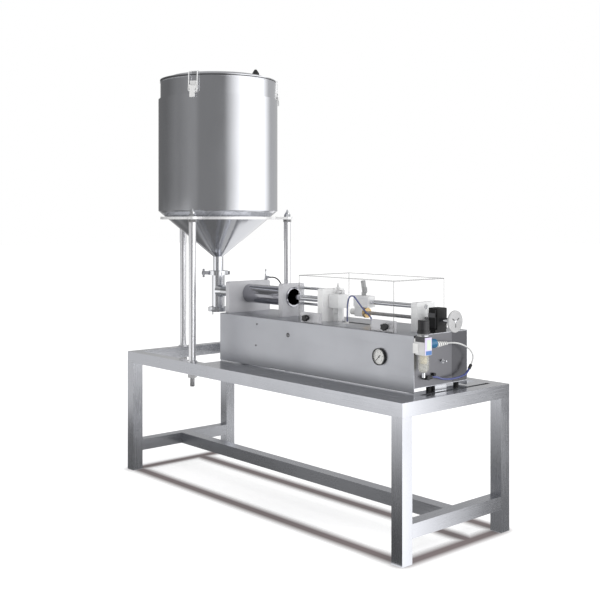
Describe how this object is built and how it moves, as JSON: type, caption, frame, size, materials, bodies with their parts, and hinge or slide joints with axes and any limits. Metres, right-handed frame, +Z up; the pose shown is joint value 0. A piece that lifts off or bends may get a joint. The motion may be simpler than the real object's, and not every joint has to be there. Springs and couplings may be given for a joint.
{
  "type": "piston filling machine",
  "caption": "Pneumatic piston filler on a stainless table: conical lidded hopper on posts, product tee, horizontal filling cylinder, guarded stroke drive and air regulator.",
  "frame": {"origin": "on the floor below the middle of the table", "axes": "+Z up, X along the table with the stroke handwheel at +X, the operator's side at -Y"},
  "size_m": [1.74, 0.59, 1.865],
  "materials": {
    "brushed_stainless": "satin, long-grain brushed stainless steel",
    "mirror_stainless": "mirror-polished stainless steel",
    "machined_steel": "fine machined light grey metal",
    "clear_acrylic": "clear polished acrylic sheet",
    "clear_bowl": "clear moulded bowl",
    "black_plastic": "moulded black plastic, fine grain",
    "grey_plastic": "moulded grey plastic",
    "cream_filter": "porous sintered cream filter",
    "blue_plastic": "glossy dark blue plastic fitting",
    "black_rubber": "matt black rubber",
    "seal_rubber": "black seal rubber",
    "grey_tube": "light grey polyurethane tube",
    "blue_tube": "dark blue polyurethane tube",
    "black_tube": "black polyurethane tube",
    "light_wheel": "light grey moulded handwheel",
    "gauge_black": "black enamelled gauge case",
    "needle_black": "black lacquered needle"
  },
  "bodies": {
    "machine": {"table_top_frame": "brushed_stainless", "table_legs": "brushed_stainless", "table_crossbars": "brushed_stainless", "box_pads": "black_rubber", "stand_posts": "brushed_stainless", "stand_nuts": "mirror_stainless", "support_ring": "brushed_stainless", "hopper_shell": "mirror_stainless", "hopper_lid": "mirror_stainless", "lid_gasket": "seal_rubber", "lid_handle": "black_plastic", "lid_clamp_bases": "mirror_stainless", "tee_valve": "mirror_stainless", "pipe_clamps": "mirror_stainless", "head_plate_base": "machined_steel", "head_plate_cap": "machined_steel", "middle_plate_base": "machined_steel", "middle_plate_cap": "machined_steel", "guide_plate": "machined_steel", "end_plate_base": "machined_steel", "end_plate_cap": "machined_steel", "filling_cylinder": "mirror_stainless", "guide_rods": "mirror_stainless", "counter": "black_plastic", "box_shell": "brushed_stainless", "end_panels": "brushed_stainless", "gauge_case": "gauge_black", "guard_blocks": "machined_steel", "regulator_body": "grey_plastic", "regulator_bowl": "clear_bowl", "filter_element": "cream_filter", "air_fittings": "blue_plastic", "flow_control": "machined_steel", "hose_upper": "grey_tube", "hose_lower": "blue_tube", "tube_black": "black_tube", "tube_blue": "blue_tube"},
    "piston": {"piston": "machined_steel", "piston_seals": "seal_rubber", "piston_rod": "mirror_stainless", "coupling_block": "machined_steel", "coupling_fittings": "grey_plastic"},
    "stop": {"stop_block": "machined_steel"},
    "stop_lock": {"stop_lock_lever": "grey_plastic"},
    "screw": {"lead_screw": "machined_steel", "handwheel": "light_wheel"},
    "guard": {"guard": "clear_acrylic"},
    "knob_left": {"guard_knob_left": "black_plastic"},
    "knob_right": {"guard_knob_right": "black_plastic"},
    "needle": {"gauge_needle": "needle_black"},
    "toggle": {"toggle_lever": "mirror_stainless"},
    "regulator_knob": {"regulator_knob": "black_plastic"},
    "clamp_nut_upper": {"wing_nut_upper": "mirror_stainless"},
    "clamp_nut_lower": {"wing_nut_lower": "mirror_stainless"},
    "lever_front": {"latch_lever_front": "mirror_stainless"},
    "bail_front": {"latch_bail_front": "mirror_stainless"},
    "lever_right": {"latch_lever_right": "mirror_stainless"},
    "bail_right": {"latch_bail_right": "mirror_stainless"},
    "lever_rear": {"latch_lever_rear": "mirror_stainless"},
    "bail_rear": {"latch_bail_rear": "mirror_stainless"}
  },
  "joints": [
    {"name": "piston_stroke", "type": "slide", "parent": "machine", "child": "piston", "axis": [1, 0, 0], "range_m": [0, 0.048]},
    {"name": "stroke_wheel", "type": "hinge", "parent": "machine", "child": "screw", "pos_m": [0.75, 0, 0.802], "axis": [1, 0, 0], "range_deg": [-10801, 1]},
    {"name": "stop_travel", "type": "slide", "parent": "machine", "child": "stop", "axis": [1, 0, 0], "range_m": [0, 0.15]},
    {"name": "stop_lock_turn", "type": "hinge", "parent": "stop", "child": "stop_lock", "pos_m": [0.396, 0, 0.88], "axis": [0, 0, 1], "range_deg": [0, 90]},
    {"name": "guard_lift", "type": "slide", "parent": "machine", "child": "guard", "axis": [0, 0, 1], "range_m": [0, 0.25]},
    {"name": "guard_knob_left_turn", "type": "hinge", "parent": "machine", "child": "knob_left", "pos_m": [0.223, -0.15, 0.777], "axis": [0, -1, 0], "range_deg": [0, 720]},
    {"name": "guard_knob_right_turn", "type": "hinge", "parent": "machine", "child": "knob_right", "pos_m": [0.652, -0.15, 0.777], "axis": [0, -1, 0], "range_deg": [0, 720]},
    {"name": "gauge_needle_turn", "type": "hinge", "parent": "machine", "child": "needle", "pos_m": [0.624, -0.1515, 0.667], "axis": [0, 1, 0], "range_deg": [0, 270], "stiffness_Nm_per_rad": 0.0001},
    {"name": "switch_throw", "type": "hinge", "parent": "machine", "child": "toggle", "pos_m": [0.793, 0.003, 0.654], "axis": [0, 1, 0], "range_deg": [0, 24]},
    {"name": "regulator_turn", "type": "hinge", "parent": "machine", "child": "regulator_knob", "pos_m": [0.818, -0.129, 0.79], "axis": [0, 0, 1], "range_deg": [-720, 720]},
    {"name": "clamp_nut_upper_turn", "type": "hinge", "parent": "machine", "child": "clamp_nut_upper", "pos_m": [-0.60216, -0.04905, 0.9189], "axis": [-0.7431, 0.6691, 0], "range_deg": [0, 1080]},
    {"name": "clamp_nut_lower_turn", "type": "hinge", "parent": "machine", "child": "clamp_nut_lower", "pos_m": [-0.50895, -0.04416, 0.751], "axis": [-0.6691, -0.7431, 0], "range_deg": [0, 1080]},
    {"name": "latch_lever_front_turn", "type": "hinge", "parent": "machine", "child": "lever_front", "pos_m": [-0.42, -0.23902, 1.748], "axis": [-0.866, -0.5, 0], "range_deg": [0, 95]},
    {"name": "latch_bail_front_turn", "type": "hinge", "parent": "lever_front", "child": "bail_front", "pos_m": [-0.418, -0.24249, 1.73], "axis": [-0.866, -0.5, 0], "range_deg": [-143, 1]},
    {"name": "latch_lever_right_turn", "type": "hinge", "parent": "machine", "child": "lever_right", "pos_m": [-0.42, 0.23902, 1.748], "axis": [0.866, -0.5, 0], "range_deg": [0, 95]},
    {"name": "latch_bail_right_turn", "type": "hinge", "parent": "lever_right", "child": "bail_right", "pos_m": [-0.418, 0.24249, 1.73], "axis": [0.866, -0.5, 0], "range_deg": [-143, 1]},
    {"name": "latch_lever_rear_turn", "type": "hinge", "parent": "machine", "child": "lever_rear", "pos_m": [-0.834, 0, 1.748], "axis": [0, 1, 0], "range_deg": [0, 95]},
    {"name": "latch_bail_rear_turn", "type": "hinge", "parent": "lever_rear", "child": "bail_rear", "pos_m": [-0.838, 0, 1.73], "axis": [0, 1, 0], "range_deg": [-143, 1]}
  ],
  "couplings": [
    {"joint": "stroke_wheel", "follows": "stop_travel", "rad_per_m": -1256.6},
    {"joint": "latch_bail_front_turn", "follows": "latch_lever_front_turn", "ratio": -1.5},
    {"joint": "latch_bail_right_turn", "follows": "latch_lever_right_turn", "ratio": -1.5},
    {"joint": "latch_bail_rear_turn", "follows": "latch_lever_rear_turn", "ratio": -1.5}
  ]
}
